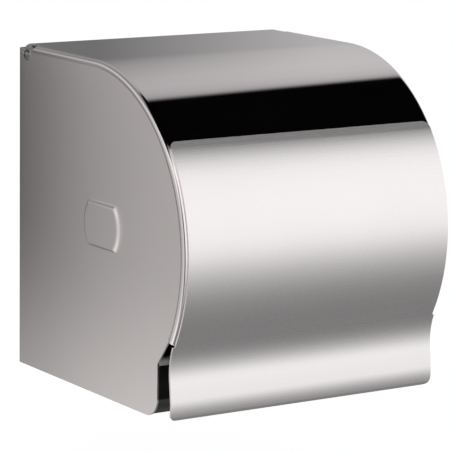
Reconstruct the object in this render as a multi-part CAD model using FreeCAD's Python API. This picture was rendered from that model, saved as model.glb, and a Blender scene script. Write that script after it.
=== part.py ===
import FreeCAD, Part
import math
import os

# Toilet paper dispenser for one roll, hung on a wall: a folded sheet case, a polished hood on two
# hinge rivets, a brushed front flap fixed on the hood, and a sprung roller between moulded seats.
# All lengths are millimetres. X runs across the object, the wall is the plane Y = 0, the object
# stands out from it towards -Y, and Z is up. The origin is the centre of the four wall screw holes
# on the back face. Below, "front" is a distance out from the wall and "up" a height above the
# lowest edge of the case.

# Sheet metal
sheet = 0.8
bend_radius = 1.6
overrun = 5.0

# The curve of the hood, which the side walls and the front flap follow
hood_radius = 67.8
arc_centre_front = 61.0
arc_centre_up = 63.5

# Case: back plate and two side walls. Its front edge lies behind the front of the hood, and its
# flat top is cut below the top of the walls' curve.
case_width = 119.6
case_setback = 20.1
case_top_cut = 0.9
case_corner_radius = 8.0
case_ear_radius = 1.5
case_kink_up = 21.5
wall_arc_end_angle = -20.0

# Wall screw holes
screw_spacing_across = 80.0
screw_spacing_up = 70.0
screw_centre_up = 68.0
screw_hole_radius = 2.6

# Bosses pressed out of the side walls, round with a flat top and bottom
boss_height = 1.2
boss_top_radius = 13.0
boss_top_flat = 9.0
boss_slope = 1.0
boss_edge_radius = 0.45

# Base pan: floor, round front corner, apron and its rolled upper edge
pan_inset = 0.3
pan_end_gap = 0.1
apron_up = 23.4
apron_roll_radius = 1.4
apron_roll_angle = 262.0

# Hood, with one gap to the case all round
hood_gap = 0.4
hood_tip_angle = 29.0
skirt_depth = 3.0
skirt_bend_radius = 1.2
skirt_tip_radius = 1.3
notch_front = 12.0
notch_lean = 3.6

# Hinge, below the flat top of the case
hinge_front = 7.2
hinge_drop = 2.2
rivet_radius = 1.5
rivet_head_radius = 2.3
rivet_head_height = 1.1
rivet_tail_radius = 2.4
rivet_tail_height = 0.6
rivet_fit = 0.05
washer_radius = 4.0
washer_thickness = 0.5
ear_side_gap = 0.1
ear_reach = 8.0
ear_front_height = 2.2

# Front flap, narrower than the hood down to shoulders just below the hood's tips
flap_side_inset = 1.4
flap_shoulder_drop = 2.23
flap_shoulder_radius = 1.0
flap_weld_gap = 0.05
flap_top_angle = 38.7
flap_blend_angle = 30.0
flap_blend_radius = 18.0
flap_top_corner_radius = 3.2
flap_bottom_corner_radius = 2.0
lip_radius = 8.0
lip_angle = 60.0

# Roller and its seats, a little ahead of the centre of the hood's curve and above it
roller_ahead = 6.5
roller_above = 4.8
seat_flange_radius = 15.0
seat_flange_thickness = 1.0
seat_boss_radius = 8.0
seat_boss_reach = 5.0
seat_edge_radius = 0.5
seat_key_gap = 0.15
socket_depth = 5.5
journal_radius = 4.1
journal_fit = 0.05
journal_end_gap = 0.3
journal_end_radius = 0.8
plug_side_gap = 1.0
plug_shoulder = 2.0
plug_edge_radius = 0.6
plug_spigot = 8.0
plug_fit = 0.03
outer_tube_radius = 14.0
outer_tube_past_middle = 15.0
inner_tube_past_middle = 11.0
tube_wall = 1.0
tube_slide_gap = 0.2

# Spring inside the roller
spring_wire_radius = 0.6
spring_coil_radius = 8.0
spring_turns = 12
spring_bend_radius = 1.8
spring_end_run = 1.2
spring_end_gap = 0.02

# Sizes that follow from the ones above
case_side = case_width / 2
case_inner_side = case_side - sheet
wall_arc_radius = hood_radius - sheet - hood_gap
case_depth = arc_centre_front + hood_radius - case_setback
case_height = arc_centre_up + wall_arc_radius - case_top_cut
hood_side = case_side + hood_gap + sheet
hood_top_up = arc_centre_up + hood_radius
hood_tip_up = arc_centre_up - hood_radius * math.sin(math.radians(hood_tip_angle))
hinge_up = case_height - hinge_drop
hood_rear_radius = hood_top_up - hinge_up
flap_side = hood_side - flap_side_inset
flap_shoulder_up = hood_tip_up - flap_shoulder_drop
roller_front = arc_centre_front + roller_ahead
roller_up = arc_centre_up + roller_above
ear_side = case_inner_side - washer_thickness - ear_side_gap
pocket_side = case_side + boss_height - sheet
boss_slope_angle = math.degrees(math.atan2(boss_height, boss_slope))
pocket_inset = sheet * math.tan(math.radians(boss_slope_angle / 2))

ACROSS = FreeCAD.Vector(1, 0, 0)
OUT_FROM_WALL = FreeCAD.Vector(0, -1, 0)


def at(x, front, up):
    """A point given across, out from the wall and up from the lowest edge of the case."""
    return FreeCAD.Vector(x, -front, up - screw_centre_up)


def on_circle(centre_front, centre_up, radius, angle):
    """The front and up of a point on a circle, its angle counted up from straight ahead."""
    turn = math.radians(angle)
    return centre_front + radius * math.cos(turn), centre_up + radius * math.sin(turn)


def line(first, second):
    return Part.LineSegment(first, second).toShape()


def arc(first, middle, last):
    return Part.Arc(first, middle, last).toShape()


def face_of(edges):
    return Part.Face(Part.Wire(Part.__sortEdges__(edges)))


def edges_where(shape, test):
    return [edge for edge in shape.Edges if test(edge)]


def both_ends(edge, test):
    return all(test(vertex.Point) for vertex in edge.Vertexes)


def mirrored(shape):
    """The same piece on the other side of the object."""
    return shape.mirror(FreeCAD.Vector(0, 0, 0), ACROSS)


# Paths of bent sheet
# A path is a start point, a heading in degrees above straight ahead, and moves that are a run
# with a length or a bend with a radius and an angle. A positive angle turns towards the inside.
def trace(path, depth):
    """The path moved inwards by a depth, as one (first, middle, last) for each move."""
    front, up, heading, moves = path
    legs = []
    for kind, size, angle in moves:
        turn = math.radians(heading)
        inward = (math.sin(turn), -math.cos(turn))
        first = (front + depth * inward[0], up + depth * inward[1])
        if kind == "run":
            front += size * math.cos(turn)
            up += size * math.sin(turn)
            legs.append((first, None, (front + depth * inward[0], up + depth * inward[1])))
            continue
        side = math.copysign(1, angle)
        centre = (front + side * size * inward[0], up + side * size * inward[1])
        swept = []
        for share in (0.5, 1.0):
            turn = math.radians(heading - share * angle)
            inward = (math.sin(turn), -math.cos(turn))
            front = centre[0] - side * size * inward[0]
            up = centre[1] - side * size * inward[1]
            swept.append((front + depth * inward[0], up + depth * inward[1]))
        legs.append((first, swept[0], swept[1]))
        heading -= angle
    return legs


def leg_edges(legs):
    edges = []
    for first, middle, last in legs:
        if middle is None:
            edges.append(line(at(0, *first), at(0, *last)))
        else:
            edges.append(arc(at(0, *first), at(0, *middle), at(0, *last)))
    return edges


def strip(path, near, far, side):
    """Sheet along a path, between two depths, reaching to this side and to the opposite one."""
    outer = trace(path, near)
    inner = trace(path, far)
    ends = [
        line(at(0, *outer[0][0]), at(0, *inner[0][0])),
        line(at(0, *outer[-1][2]), at(0, *inner[-1][2])),
    ]
    face = face_of(leg_edges(outer) + leg_edges(inner) + ends)
    face.translate(ACROSS * -side)
    return face.extrude(ACROSS * (2 * side))


def bar(radius, from_x, to_x, front, up):
    """A round bar across the object."""
    return Part.makeCylinder(radius, to_x - from_x, at(from_x, front, up), ACROSS)


# Case
def wall_outline():
    """The side wall's outline: flat top, round under the hood, a kink, and a round lower corner."""
    top_angle = 180 - math.degrees(math.asin((case_height - arc_centre_up) / wall_arc_radius))
    middle_angle = (top_angle + wall_arc_end_angle) / 2
    arc_points = [
        on_circle(arc_centre_front, arc_centre_up, wall_arc_radius, angle)
        for angle in (wall_arc_end_angle, middle_angle, top_angle)
    ]
    corner_front = case_depth - case_corner_radius
    corner_middle = on_circle(corner_front, case_corner_radius, case_corner_radius, -45)
    ear_middle = on_circle(case_ear_radius, case_height - case_ear_radius, case_ear_radius, 135)
    return face_of([
        line(at(0, 0, 0), at(0, corner_front, 0)),
        arc(at(0, corner_front, 0), at(0, *corner_middle), at(0, case_depth, case_corner_radius)),
        line(at(0, case_depth, case_corner_radius), at(0, case_depth, case_kink_up)),
        line(at(0, case_depth, case_kink_up), at(0, *arc_points[0])),
        arc(*[at(0, *point) for point in arc_points]),
        line(at(0, *arc_points[2]), at(0, case_ear_radius, case_height)),
        arc(at(0, case_ear_radius, case_height), at(0, *ear_middle),
            at(0, 0, case_height - case_ear_radius)),
        line(at(0, 0, case_height - case_ear_radius), at(0, 0, 0)),
    ])


def folded_u():
    """Back plate and side walls before they are trimmed, with the bends at the back edges."""
    reach = arc_centre_front + hood_radius
    outer = Part.makeBox(case_width, reach, case_height, at(-case_side, reach, 0))
    rear_edges = edges_where(outer, lambda edge: both_ends(edge, lambda p: abs(p.y) < overrun))
    upright = [edge for edge in rear_edges if abs(edge.tangentAt(edge.FirstParameter).z) > 0.5]
    outer = outer.makeFillet(bend_radius, upright)
    inner = Part.makeBox(2 * case_inner_side, reach + overrun - sheet, case_height + 2 * overrun,
                         at(-case_inner_side, reach + overrun, -overrun))
    rear_edges = edges_where(
        inner, lambda edge: both_ends(edge, lambda p: abs(p.y + sheet) < sheet / 2))
    upright = [edge for edge in rear_edges if abs(edge.tangentAt(edge.FirstParameter).z) > 0.5]
    inner = inner.makeFillet(bend_radius - sheet, upright)
    return outer.cut(inner)


def boss_wire(x, radius, flat):
    """A circle cut flat above and below, about the roller's axis."""
    half = math.sqrt(radius ** 2 - flat ** 2)
    corner = [(half, flat), (half, -flat), (-half, -flat), (-half, flat)]
    points = [at(x, roller_front + front, roller_up + up) for front, up in corner]
    return Part.Wire([
        arc(points[0], at(x, roller_front + radius, roller_up), points[1]),
        line(points[1], points[2]),
        arc(points[2], at(x, roller_front - radius, roller_up), points[3]),
        line(points[3], points[0]),
    ])


def boss_block(from_x, to_x, inset):
    """The solid between a boss's base and its top, all round smaller by an inset."""
    base = boss_wire(from_x, boss_top_radius + boss_slope - inset,
                     boss_top_flat + boss_slope - inset)
    top = boss_wire(to_x, boss_top_radius - inset, boss_top_flat - inset)
    return Part.makeLoft([base, top], True, True)


def make_case():
    outline = wall_outline()
    outline.translate(ACROSS * -hood_side)
    case = folded_u().common(outline.extrude(ACROSS * (2 * hood_side)))
    top_x = case_side + boss_height
    boss = boss_block(case_side, top_x, 0)
    rim = edges_where(boss, lambda edge: both_ends(edge, lambda p: abs(p.x - top_x) < sheet / 2))
    boss = boss.makeFillet(boss_edge_radius, rim)
    pocket = boss_block(case_inner_side, pocket_side, pocket_inset)
    for shape in (boss, mirrored(boss)):
        case = case.fuse(shape)
    for shape in (pocket, mirrored(pocket)):
        case = case.cut(shape)
    for across in (-screw_spacing_across / 2, screw_spacing_across / 2):
        for rise in (-screw_spacing_up / 2, screw_spacing_up / 2):
            start = at(across, -overrun, screw_centre_up + rise)
            case = case.cut(Part.makeCylinder(screw_hole_radius, 2 * overrun, start, OUT_FROM_WALL))
    hinge_hole = bar(rivet_radius + rivet_fit, -hood_side, hood_side, hinge_front, hinge_up)
    return case.cut(hinge_hole)


# Base pan
def make_base_pan():
    face_front = case_depth - pan_inset
    roll_front = face_front - apron_roll_radius
    roll_up = apron_up - apron_roll_radius
    heading = apron_roll_angle - 90
    start = on_circle(roll_front, roll_up, apron_roll_radius, heading + 90)
    corner = case_corner_radius - pan_inset
    path = (start[0], start[1], heading, [
        ("bend", apron_roll_radius, apron_roll_angle),
        ("run", roll_up - case_corner_radius, 0),
        ("bend", corner, 90),
        ("run", face_front - corner - sheet - pan_end_gap, 0),
    ])
    return strip(path, 0, sheet, case_inner_side - pan_end_gap)


# Hood
def hood_path():
    return (hinge_front - hood_rear_radius, hinge_up, 90, [
        ("bend", hood_rear_radius, 90),
        ("run", arc_centre_front - hinge_front, 0),
        ("bend", hood_radius, 90 + hood_tip_angle),
    ])


def path_edges(shape, path, depth, side):
    """The edges of a shape that run along a path, at a depth and on both sides of the object."""
    found = []
    for first, middle, last in trace(path, depth):
        if middle is None:
            middle = ((first[0] + last[0]) / 2, (first[1] + last[1]) / 2)
        for x in (-side, side):
            spot = Part.Vertex(at(x, *middle))
            found += edges_where(shape, lambda edge: edge.distToShape(spot)[0] < rivet_fit / 10)
    return found


def hood_channel():
    """The cover with a skirt bent down along both sides."""
    blank = strip(hood_path(), 0, skirt_depth, hood_side)
    tip = at(0, *on_circle(
        arc_centre_front, arc_centre_up, hood_radius - skirt_depth, -hood_tip_angle))
    tip_edges = edges_where(blank, lambda edge: both_ends(
        edge, lambda p: abs(p.y - tip.y) < sheet and abs(p.z - tip.z) < sheet))
    blank = blank.makeFillet(skirt_tip_radius, tip_edges)
    channel = blank.cut(strip(hood_path(), sheet, skirt_depth + sheet, hood_side - sheet))
    channel = channel.makeFillet(
        skirt_bend_radius, path_edges(channel, hood_path(), 0, hood_side))
    return channel.makeFillet(
        skirt_bend_radius - sheet, path_edges(channel, hood_path(), sheet, hood_side - sheet))


def hood_notch():
    """What is cut from one side so that the rear of the hood fits between the ears."""
    low = hinge_up - hood_rear_radius - overrun
    skirt_up = hood_top_up - skirt_depth
    high = hood_top_up + overrun
    lean = notch_lean * (high - skirt_up) / skirt_depth
    corners = [
        at(ear_side, -overrun, low), at(ear_side, notch_front, low),
        at(ear_side, notch_front, skirt_up), at(ear_side, notch_front + lean, high),
        at(ear_side, -overrun, high),
    ]
    sides = [line(corners[i - 1], corners[i]) for i in range(len(corners))]
    return face_of(sides).extrude(ACROSS * (hood_side + overrun - ear_side))


def hood_ear():
    """The ear folded down inside the case, round about the hinge, with its rivet hole."""
    inner_x = ear_side - sheet
    disc = bar(hood_rear_radius, inner_x, ear_side, hinge_front, hinge_up)
    under = hood_top_up - sheet / 2
    corners = [
        at(inner_x, hinge_front, hinge_up - hood_rear_radius), at(inner_x, hinge_front, under),
        at(inner_x, hinge_front + ear_reach, under),
        at(inner_x, hinge_front + ear_reach, hood_top_up - sheet - ear_front_height),
    ]
    sides = [line(corners[i - 1], corners[i]) for i in range(len(corners))]
    ear = disc.fuse(face_of(sides).extrude(ACROSS * sheet))
    hole = bar(rivet_radius + rivet_fit, inner_x - overrun, ear_side + overrun,
               hinge_front, hinge_up)
    return ear.cut(hole)


def make_hood():
    hood = hood_channel()
    notch = hood_notch()
    hood = hood.cut(notch).cut(mirrored(notch))
    ear = hood_ear()
    return hood.fuse(ear).fuse(mirrored(ear))


# Front flap
def flap_path():
    radius = hood_radius + flap_weld_gap + sheet
    top = on_circle(arc_centre_front, arc_centre_up, radius, flap_top_angle)
    low = on_circle(arc_centre_front, arc_centre_up, radius, -flap_blend_angle)
    straight_top = low[1] - flap_blend_radius * math.sin(math.radians(flap_blend_angle))
    lip_top = lip_radius * math.sin(math.radians(lip_angle))
    return (top[0], top[1], flap_top_angle - 90, [
        ("bend", radius, flap_top_angle + flap_blend_angle),
        ("bend", flap_blend_radius, -flap_blend_angle),
        ("run", straight_top - lip_top, 0),
        ("bend", lip_radius, lip_angle),
    ])


def flap_outline():
    """The flap seen from the front: square corners, and shoulders below the hood's tips."""
    high = trace(flap_path(), 0)[0][0][1]
    right = [(hood_side, -sheet), (hood_side, flap_shoulder_up),
             (flap_side, flap_shoulder_up), (flap_side, high)]
    left = [(-x, up) for x, up in reversed(right)]
    corners = [at(x, -overrun, up) for x, up in right + left]
    sides = [line(corners[i - 1], corners[i]) for i in range(len(corners))]
    return face_of(sides).extrude(OUT_FROM_WALL * (2 * (arc_centre_front + hood_radius)))


def rounded(block, x, up, radius):
    """The front-to-back edges of a block, at this place on both sides, made round."""
    level = at(0, 0, up).z
    edges = edges_where(block, lambda edge: both_ends(
        edge, lambda p: abs(abs(p.x) - x) < rivet_fit and abs(p.z - level) < rivet_fit))
    return block.makeFillet(radius, edges)


def make_front_flap():
    high = trace(flap_path(), 0)[0][0][1]
    outline = flap_outline()
    outline = rounded(outline, flap_side, high, flap_top_corner_radius)
    outline = rounded(outline, hood_side, flap_shoulder_up, flap_shoulder_radius)
    outline = rounded(outline, hood_side, -sheet, flap_bottom_corner_radius)
    return strip(flap_path(), 0, sheet, hood_side).common(outline)


# Hinge
def make_hinge_rivets():
    """A rivet through each side wall, washer and ear: domed head outside, flat tail inside."""
    dome = (rivet_head_radius ** 2 + rivet_head_height ** 2) / (2 * rivet_head_height)
    tail_x = ear_side - sheet - ear_side_gap
    centre = at(case_side + rivet_head_height - dome, hinge_front, hinge_up)
    cap = Part.makeSphere(dome, centre)
    cap = cap.common(bar(dome, case_side, case_side + dome, hinge_front, hinge_up))
    rivet = cap.fuse(bar(rivet_radius, tail_x, case_side, hinge_front, hinge_up))
    rivet = rivet.fuse(bar(rivet_tail_radius, tail_x - rivet_tail_height, tail_x,
                           hinge_front, hinge_up))
    return Part.makeCompound([rivet, mirrored(rivet)])


def make_hinge_washer():
    start = case_inner_side - washer_thickness
    washer = bar(washer_radius, start, case_inner_side, hinge_front, hinge_up)
    return washer.cut(bar(rivet_radius + rivet_fit, start - overrun, case_side,
                          hinge_front, hinge_up))


# Roller seats
def make_roller_seat():
    """A moulded seat keyed in a boss pocket, with a blind socket for the roller's journal."""
    socket_floor = case_inner_side - seat_flange_thickness - seat_boss_reach + socket_depth
    boss_x = socket_floor - socket_depth
    flange_x = case_inner_side - seat_flange_thickness
    key = boss_block(case_inner_side, pocket_side - seat_key_gap, pocket_inset + seat_key_gap)
    flange = bar(seat_flange_radius, flange_x, case_inner_side, roller_front, roller_up)
    flange = flange.makeFillet(seat_edge_radius, circles_at(flange, flange_x))
    boss = bar(seat_boss_radius, boss_x, flange_x, roller_front, roller_up)
    boss = boss.makeFillet(seat_edge_radius, circles_at(boss, boss_x))
    seat = flange.fuse(key).fuse(boss)
    return seat.cut(bar(journal_radius + journal_fit, boss_x - overrun, socket_floor,
                        roller_front, roller_up))


def circles_at(shape, x):
    """The round edges of a shape that lie in one plane across the object."""
    return edges_where(shape, lambda edge: both_ends(edge, lambda p: abs(p.x - x) < rivet_fit)
                       and abs(edge.BoundBox.XLength) < rivet_fit)


# Roller
seat_face_x = case_inner_side - seat_flange_thickness - seat_boss_reach
journal_end_x = seat_face_x + socket_depth - journal_end_gap
shoulder_x = seat_face_x - plug_side_gap
tube_end_x = shoulder_x - plug_shoulder
outer_tube_bore = outer_tube_radius - tube_wall
inner_tube_radius = outer_tube_bore - tube_slide_gap
inner_tube_bore = inner_tube_radius - tube_wall


def make_tube(radius, bore, past_middle):
    """A tube of the roller from its own plug, here on the positive side, past the middle."""
    tube = bar(radius, -past_middle, tube_end_x, roller_front, roller_up)
    return tube.cut(bar(bore, -past_middle - overrun, tube_end_x + overrun,
                        roller_front, roller_up))


def make_plug(bore):
    """An end plug: spigot in the tube, shoulder against its end, and the journal."""
    journal = bar(journal_radius, tube_end_x, journal_end_x, roller_front, roller_up)
    journal = journal.makeFillet(journal_end_radius, circles_at(journal, journal_end_x))
    shoulder = bar(outer_tube_radius, tube_end_x, shoulder_x, roller_front, roller_up)
    shoulder = shoulder.makeFillet(plug_edge_radius, circles_at(shoulder, shoulder_x))
    spigot = bar(bore - plug_fit, tube_end_x - plug_spigot, tube_end_x, roller_front, roller_up)
    return shoulder.fuse(journal).fuse(spigot)


# Spring
def arc_from(start, heading, new_heading, radius):
    """An arc that turns a heading into a new one: its edge and its last point."""
    turn = heading.getAngle(new_heading)
    across = (new_heading - heading * heading.dot(new_heading)).normalize()
    centre = start + across * radius
    points = [
        centre - across * (radius * math.cos(share * turn))
        + heading * (radius * math.sin(share * turn))
        for share in (0.5, 1.0)
    ]
    return arc(start, points[0], points[1]), points[1]


def tangent_arc(start, heading, last):
    """The arc that leaves a point along a heading and ends at a last point."""
    chord = last - start
    direction = FreeCAD.Vector(chord).normalize()
    lean = heading.getAngle(direction)
    across = (heading - direction * heading.dot(direction)).normalize()
    middle = (start + last) * 0.5 + across * (chord.Length / 2 * math.tan(lean / 2))
    return arc(start, middle, last)


def biarc(start, heading, last, last_heading):
    """Two arcs that join two points, each with its own heading."""
    gap = last - start
    along = gap.dot(heading + last_heading)
    spread = 2 * (1 - heading.dot(last_heading))
    reach = (math.sqrt(along ** 2 + spread * gap.dot(gap)) - along) / spread
    joint = (start + heading * reach + last - last_heading * reach) * 0.5
    return [tangent_arc(start, heading, joint), tangent_arc(last, last_heading * -1, joint)]


def spring_station(turns, pitch, start_x):
    """A point of the coil's centre line and the heading there."""
    angle = 2 * math.pi * turns
    radius = spring_coil_radius
    point = at(start_x + pitch * turns, roller_front + radius * math.cos(angle),
               roller_up + radius * math.sin(angle))
    heading = FreeCAD.Vector(pitch, 2 * math.pi * radius * math.sin(angle),
                             2 * math.pi * radius * math.cos(angle)).normalize()
    return point, heading


def least_gap(wire):
    """The least gap of the spring's wire to itself, on points more than half a turn apart."""
    spacing = spring_wire_radius
    points = wire.discretize(Distance=spacing)
    apart = round(math.pi * spring_coil_radius / spacing)
    centre_gap = min((points[i] - points[j]).Length
                     for i in range(len(points)) for j in range(i + apart, len(points)))
    return centre_gap - 2 * spring_wire_radius


def make_spring():
    """One wire: a straight end, a bend, the coils by quarter turns, a bend and a straight end."""
    stop_x = tube_end_x - plug_spigot - spring_end_gap
    start_x = spring_end_run + spring_bend_radius - stop_x
    pitch = -2 * start_x / spring_turns
    point, heading = spring_station(0, pitch, start_x)
    back, entry = arc_from(point, heading * -1, ACROSS * -1, spring_bend_radius)
    edges = [line(entry, FreeCAD.Vector(-stop_x, entry.y, entry.z)), back]
    quarters = 4 * spring_turns
    for quarter in range(1, quarters + 1):
        last, last_heading = spring_station(quarter / 4, pitch, start_x)
        edges += biarc(point, heading, last, last_heading)
        point, heading = last, last_heading
    front, leave = arc_from(point, heading, ACROSS, spring_bend_radius)
    edges += [front, line(leave, FreeCAD.Vector(stop_x, leave.y, leave.z))]
    wire = Part.Wire(Part.__sortEdges__(edges))
    section = Part.Wire(Part.Circle(
        FreeCAD.Vector(-stop_x, entry.y, entry.z), ACROSS, spring_wire_radius).toShape())
    shell = Part.BRepOffsetAPI.MakePipeShell(wire)
    shell.add(section)
    shell.build()
    shell.makeSolid()
    spring = shell.shape()
    print("spring: volume over section times length",
          round(spring.Volume / (math.pi * spring_wire_radius ** 2 * wire.Length), 4),
          "least gap to itself", round(least_gap(wire), 2))
    return spring


# Pieces
def save(name, shape):
    if not shape.isValid():
        raise ValueError("the piece " + name + " is not a valid solid")
    shape.exportStep(os.path.join("parts", name + ".step"))
    print(name, "solids", len(shape.Solids), "volume", round(shape.Volume, 1))


os.makedirs("parts", exist_ok=True)
save("case", make_case().removeSplitter())
save("base_pan", make_base_pan())
save("hood", make_hood().removeSplitter())
save("front_flap", make_front_flap())
save("hinge_rivets", make_hinge_rivets())
for end, place in (("left", mirrored), ("right", lambda shape: shape)):
    save("hinge_washer_" + end, place(make_hinge_washer()))
    save("roller_seat_" + end, place(make_roller_seat()))
outer_tube = make_tube(outer_tube_radius, outer_tube_bore, outer_tube_past_middle)
save("roller_outer_tube", mirrored(outer_tube))
save("roller_inner_tube", make_tube(inner_tube_radius, inner_tube_bore, inner_tube_past_middle))
save("roller_plug_left", mirrored(make_plug(outer_tube_bore)))
save("roller_plug_right", make_plug(inner_tube_bore))
save("roller_spring", make_spring())
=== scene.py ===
# %% [markdown]
# # A wall-hung toilet paper dispenser
# The object is a box of thin stainless sheet: a satin case, a mirror-polished hood that hinges at
# the top rear corners, and a brushed front flap fixed on the hood. Inside, a sprung roller sits
# between two moulded seats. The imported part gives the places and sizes, so each cell below builds
# one piece where the part has it and gives it the finish of the real metal or plastic. A few forms
# are drawn a millimetre or two nearer to the photograph.

# %% Load the frame
import bmesh
import bpy
import math
from mathutils import Matrix, Quaternion, Vector


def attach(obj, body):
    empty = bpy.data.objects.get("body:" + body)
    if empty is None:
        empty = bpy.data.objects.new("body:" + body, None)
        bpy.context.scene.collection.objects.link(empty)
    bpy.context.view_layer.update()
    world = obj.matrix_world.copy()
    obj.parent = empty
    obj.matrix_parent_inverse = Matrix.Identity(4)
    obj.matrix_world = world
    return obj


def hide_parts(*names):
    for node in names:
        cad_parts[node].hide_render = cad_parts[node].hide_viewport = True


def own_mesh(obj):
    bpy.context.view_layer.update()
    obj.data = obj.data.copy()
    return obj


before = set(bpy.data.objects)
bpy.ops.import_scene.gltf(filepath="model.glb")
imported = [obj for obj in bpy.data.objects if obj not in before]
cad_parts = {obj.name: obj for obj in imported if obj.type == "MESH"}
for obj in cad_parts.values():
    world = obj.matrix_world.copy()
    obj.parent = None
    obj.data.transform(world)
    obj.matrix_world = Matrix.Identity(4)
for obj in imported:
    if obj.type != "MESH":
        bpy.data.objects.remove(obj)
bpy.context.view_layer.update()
scene = bpy.context.scene
scene.view_settings.view_transform = "Standard"

# %% [markdown]
# ## Places and lengths
# A maker measures this box from the wall and from its lowest edge, in millimetres: "front" is the
# distance out from the wall and "up" the height above the lowest edge. Blender works in metres
# with Z up and the wall at Y = 0, so one small function turns the maker's numbers into points.

# %% Places and lengths
MM = 0.001
SCREW_CENTRE_UP = 68.0
SHEET = 0.8
# Corners nearer than TOUCHING are merged, those nearer than IN_LINE count as in line, and a row
# is picked out by a limit that lies BESIDE it.
TOUCHING = 0.001 * MM
IN_LINE = 0.01 * MM
BESIDE = 0.1 * MM


def at(x, front, up):
    """A point in metres from millimetres across, out from the wall and up."""
    return Vector((x, -front, up - SCREW_CENTRE_UP)) * MM


def on_circle(front, up, radius, angle):
    """The front and up of a point on a circle, its angle counted up from straight ahead."""
    turn = math.radians(angle)
    return front + radius * math.cos(turn), up + radius * math.sin(turn)


# %% [markdown]
# ## Camera
# The photograph looks at the object from its front left and a little above, with a long lens, so
# that parallel edges stay nearly parallel. The camera below has the direction, the distance and
# the slight roll that bring the known corners of the box onto the same places in the picture. It
# is aimed a little beside the middle of the object instead of shifting the lens.

# %% Camera
AZIMUTH, ELEVATION, ROLL = -33.104, 10.273, 0.853
DISTANCE = 1.0897
MIDDLE = Vector((0, -0.065, -0.002))
AIM_LEFT, AIM_DOWN = 0.001369, 0.004318
LENS = 218.48


def direction_of(azimuth, elevation):
    """The direction from the object to a camera, azimuth 0 in front and elevation up."""
    a, e = math.radians(azimuth), math.radians(elevation)
    return Vector((math.sin(a) * math.cos(e), -math.cos(a) * math.cos(e), math.sin(e)))


def make_camera():
    roll = math.radians(ROLL)
    back = direction_of(AZIMUTH, ELEVATION)
    level = (-back).cross(Vector((0, 0, 1))).normalized()
    upward = level.cross(-back)
    right = level * math.cos(roll) + upward * math.sin(roll)
    above = upward * math.cos(roll) - level * math.sin(roll)
    place = MIDDLE + back * DISTANCE
    aim = MIDDLE - right * AIM_LEFT - above * AIM_DOWN
    data = bpy.data.cameras.new("camera")
    data.sensor_width = 36
    data.lens = LENS
    camera = bpy.data.objects.new("camera", data)
    scene.collection.objects.link(camera)
    camera.location = place
    camera.rotation_mode = "QUATERNION"
    camera.rotation_quaternion = (
        (aim - place).to_track_quat("-Z", "Y") @ Quaternion((0, 0, 1), roll))
    scene.camera = camera
    print("camera", [round(c, 4) for c in place])


make_camera()

# %% [markdown]
# ## Wiring nodes
# The world and all finishes are trees of nodes. A few small functions keep them short to read: a
# new node gets its settings and what feeds it in one line, a graded level goes from one value to
# another between two places, and two shaders are mixed by a share.

# %% Wiring nodes
def feed(tree, place, value):
    """Gives an input another node's output or a value of its own."""
    if isinstance(value, bpy.types.NodeSocket):
        tree.links.new(value, place)
    else:
        place.default_value = value


def node(tree, kind, *sources, **values):
    """A new node of a material or world. The values go to the inputs and settings of their
    names, and the sources to the inputs in their order."""
    made = tree.nodes.new("ShaderNode" + kind)
    for name, value in values.items():
        if name in made.inputs:
            feed(tree, made.inputs[name], value)
        else:
            setattr(made, name, value)
    for place, value in zip(made.inputs, sources):
        feed(tree, place, value)
    return made


def graded(tree, source, near, far, near_level=0.0, far_level=1.0, run="LINEAR"):
    """A level that goes from one to another between two places of a source."""
    level = node(tree, "MapRange", source, interpolation_type=run)
    for name, value in (("From Min", near), ("From Max", far),
                        ("To Min", near_level), ("To Max", far_level)):
        level.inputs[name].default_value = value
    return level.outputs[0]


def mixed(tree, share, first, second):
    """Two shaders by the share of the second."""
    return node(tree, "MixShader", share, first, second).outputs[0]


# %% [markdown]
# ## The studio as polished metal sees it
# Polished steel has hardly a colour of its own: it shows the room. The curved hood sweeps its
# reflection from the grey back of a studio, over a paler ceiling, down to a black gap above the
# photographer and a white card in front. Lamps could do this, but a soft gradient in the world
# gives the same reflection without noise. Its brightness hangs on the angle about the X axis,
# because the hood curves only about that axis, and the back hangs a little askew, as it does in
# the photograph. Other rays meet a plain pale room, and the camera sees white.

# %% Studio
def fill_ramp(ramp, stops):
    """Grey stops, each a place from 0 to 1 and a brightness."""
    elements = ramp.color_ramp.elements
    elements[0].position, elements[1].position = stops[0][0], stops[-1][0]
    elements[0].color = (*[stops[0][1]] * 3, 1)
    elements[1].color = (*[stops[-1][1]] * 3, 1)
    for place, grey in stops[1:-1]:
        elements.new(place).color = (grey, grey, grey, 1)


# Angles about the X axis in degrees: 0 is straight ahead of the flap, 90 above, 180 behind.
# The studio's back is darker behind the left of the hood than behind its right.
FRONT_ROOM = [(-180, 0.12), (-165, 0.07), (-135, 0.08), (-105, 0.26), (-60, 0.20), (-40, 0.26),
              (-24, 0.50), (-15, 0.76), (-8, 0.95), (2, 1.0), (46, 1.0), (56, 0.62),
              (62, 0.0)]
LEFT_ROOM = FRONT_ROOM + [(106, 0.0), (109, 0.33), (113, 0.39), (119, 0.42), (130, 0.40),
                          (140, 0.35), (150, 0.30), (160, 0.24), (171, 0.17), (180, 0.16)]
RIGHT_ROOM = FRONT_ROOM + [(106, 0.0), (108.5, 0.35), (112, 0.47), (119, 0.53), (130, 0.55),
                           (150, 0.52), (160, 0.50), (171, 0.45), (180, 0.42)]
# Far to the left and behind, the room is dim, which the rivets and the bosses' slopes show.
BEHIND_LEFT = [(-180, 0.10), (-120, 0.08), (-60, 0.15), (-30, 0.50), (0, 0.90), (46, 1.0),
               (62, 0.0), (101, 0.0), (112, 0.24), (180, 0.22)]
# The back starts in the black gap, and it is turned up on its left and down on its right.
BACK_FROM, LEFT_TURN, RIGHT_TURN = 75, 5.2, -2.4
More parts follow.
